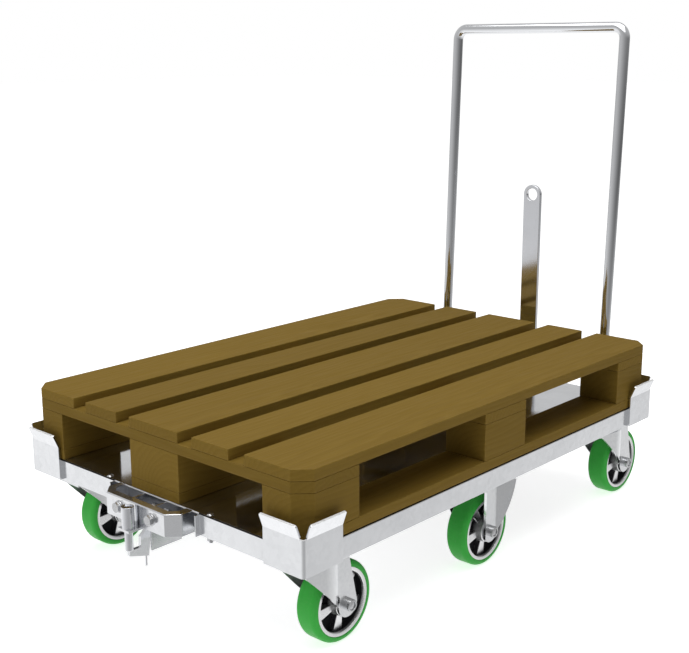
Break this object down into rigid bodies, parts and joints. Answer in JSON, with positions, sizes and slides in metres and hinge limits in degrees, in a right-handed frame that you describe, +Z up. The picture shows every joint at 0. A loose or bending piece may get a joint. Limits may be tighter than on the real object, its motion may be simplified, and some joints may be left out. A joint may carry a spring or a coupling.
{
  "type": "platform dolly",
  "caption": "Low platform dolly with castors, corner guides that hold a wooden pallet, a tubular push handle, a fold-down drawbar and a tow hitch.",
  "frame": {"origin": "on the floor under the middle of the platform", "axes": "+X along the platform towards the push handle and drawbar, +Y to the left when facing +X, +Z up"},
  "size_m": [1.375, 0.8382, 1.1385],
  "materials": {
    "bright_zinc": "bright zinc on folded and polished sheet",
    "polished_steel": "mirror polished",
    "chrome_tube": "mirror chrome on tube",
    "fork_zinc": "satin zinc on pressed steel",
    "fastener_zinc": "zinc-plated fasteners",
    "green_tread": "smooth satin polyurethane",
    "wheel_core": "cast, turned rim edge",
    "bearing_steel": "ground steel",
    "pallet_wood": "sawn softwood, stained brown"
  },
  "bodies": {
    "platform": {"deck_sheet": "bright_zinc", "side_channels": "bright_zinc", "front_channel": "bright_zinc", "rear_channels": "bright_zinc", "castor_beams": "bright_zinc", "corner_guide_front_left": "bright_zinc", "corner_guide_front_right": "bright_zinc", "corner_guide_rear_left": "bright_zinc", "corner_guide_rear_right": "bright_zinc", "handle_sockets": "bright_zinc", "drawbar_bracket": "bright_zinc", "hitch_housing": "bright_zinc", "hitch_tongue": "bright_zinc", "lever_brackets": "bright_zinc", "push_handle": "chrome_tube", "drawbar_pin": "polished_steel", "guide_tube": "polished_steel", "lever_pivot": "fastener_zinc", "hitch_bolts": "fastener_zinc", "front_bolts": "fastener_zinc", "tie_bolts": "fastener_zinc", "castor_bolts": "fastener_zinc", "fixed_axles": "fastener_zinc", "kingpins": "fastener_zinc", "swivel_plates": "fork_zinc", "fixed_forks": "fork_zinc"},
    "castor_front_left": {"fork_front_left": "fork_zinc", "axle_front_left": "fastener_zinc"},
    "castor_front_right": {"fork_front_right": "fork_zinc", "axle_front_right": "fastener_zinc"},
    "castor_rear_left": {"fork_rear_left": "fork_zinc", "axle_rear_left": "fastener_zinc"},
    "castor_rear_right": {"fork_rear_right": "fork_zinc", "axle_rear_right": "fastener_zinc"},
    "wheel_front_left": {"tread_front_left": "green_tread", "core_front_left": "wheel_core", "bearings_front_left": "bearing_steel"},
    "wheel_front_right": {"tread_front_right": "green_tread", "core_front_right": "wheel_core", "bearings_front_right": "bearing_steel"},
    "wheel_rear_left": {"tread_rear_left": "green_tread", "core_rear_left": "wheel_core", "bearings_rear_left": "bearing_steel"},
    "wheel_rear_right": {"tread_rear_right": "green_tread", "core_rear_right": "wheel_core", "bearings_rear_right": "bearing_steel"},
    "wheel_middle_left": {"tread_middle_left": "green_tread", "core_middle_left": "wheel_core", "bearings_middle_left": "bearing_steel"},
    "wheel_middle_right": {"tread_middle_right": "green_tread", "core_middle_right": "wheel_core", "bearings_middle_right": "bearing_steel"},
    "drawbar": {"drawbar": "polished_steel"},
    "lift_lever": {"lift_lever": "bright_zinc"},
    "coupling_pin": {"coupling_pin": "polished_steel"},
    "pallet": {"pallet_deck_boards": "pallet_wood", "pallet_cross_boards": "pallet_wood", "pallet_blocks": "pallet_wood", "pallet_runners": "pallet_wood"}
  },
  "joints": [
    {"name": "swivel_front_left", "type": "hinge", "parent": "platform", "child": "castor_front_left", "pos_m": [0.511, 0.3324, 0.18], "axis": [0, 0, 1], "continuous": true},
    {"name": "swivel_front_right", "type": "hinge", "parent": "platform", "child": "castor_front_right", "pos_m": [0.511, -0.3324, 0.18], "axis": [0, 0, 1], "continuous": true},
    {"name": "swivel_rear_left", "type": "hinge", "parent": "platform", "child": "castor_rear_left", "pos_m": [-0.511, 0.3324, 0.18], "axis": [0, 0, 1], "continuous": true},
    {"name": "swivel_rear_right", "type": "hinge", "parent": "platform", "child": "castor_rear_right", "pos_m": [-0.511, -0.3324, 0.18], "axis": [0, 0, 1], "continuous": true},
    {"name": "roll_front_left", "type": "hinge", "parent": "castor_front_left", "child": "wheel_front_left", "pos_m": [0.57, 0.3324, 0.08], "axis": [0, 1, 0], "continuous": true},
    {"name": "roll_front_right", "type": "hinge", "parent": "castor_front_right", "child": "wheel_front_right", "pos_m": [0.57, -0.3324, 0.08], "axis": [0, 1, 0], "continuous": true},
    {"name": "roll_rear_left", "type": "hinge", "parent": "castor_rear_left", "child": "wheel_rear_left", "pos_m": [-0.452, 0.3324, 0.08], "axis": [0, 1, 0], "continuous": true},
    {"name": "roll_rear_right", "type": "hinge", "parent": "castor_rear_right", "child": "wheel_rear_right", "pos_m": [-0.452, -0.3324, 0.08], "axis": [0, 1, 0], "continuous": true},
    {"name": "roll_middle_left", "type": "hinge", "parent": "platform", "child": "wheel_middle_left", "pos_m": [0, 0.3324, 0.08], "axis": [0, 1, 0], "continuous": true},
    {"name": "roll_middle_right", "type": "hinge", "parent": "platform", "child": "wheel_middle_right", "pos_m": [0, -0.3324, 0.08], "axis": [0, 1, 0], "continuous": true},
    {"name": "drawbar_swing", "type": "hinge", "parent": "platform", "child": "drawbar", "pos_m": [0.682, 0, 0.215], "axis": [0, 1, 0], "range_deg": [0, 100]},
    {"name": "lever_lift", "type": "hinge", "parent": "platform", "child": "lift_lever", "pos_m": [-0.6, 0, 0.212], "axis": [0, 1, 0], "range_deg": [0, 18]},
    {"name": "pin_rise", "type": "slide", "parent": "platform", "child": "coupling_pin", "axis": [0, 0, 1], "range_m": [0, 0.0225]},
    {"name": "pallet_lift", "type": "slide", "parent": "platform", "child": "pallet", "axis": [0, 0, 1], "range_m": [0, 0.3]}
  ],
  "couplings": [
    {"joint": "pin_rise", "follows": "lever_lift", "m_per_rad": 0.07}
  ]
}
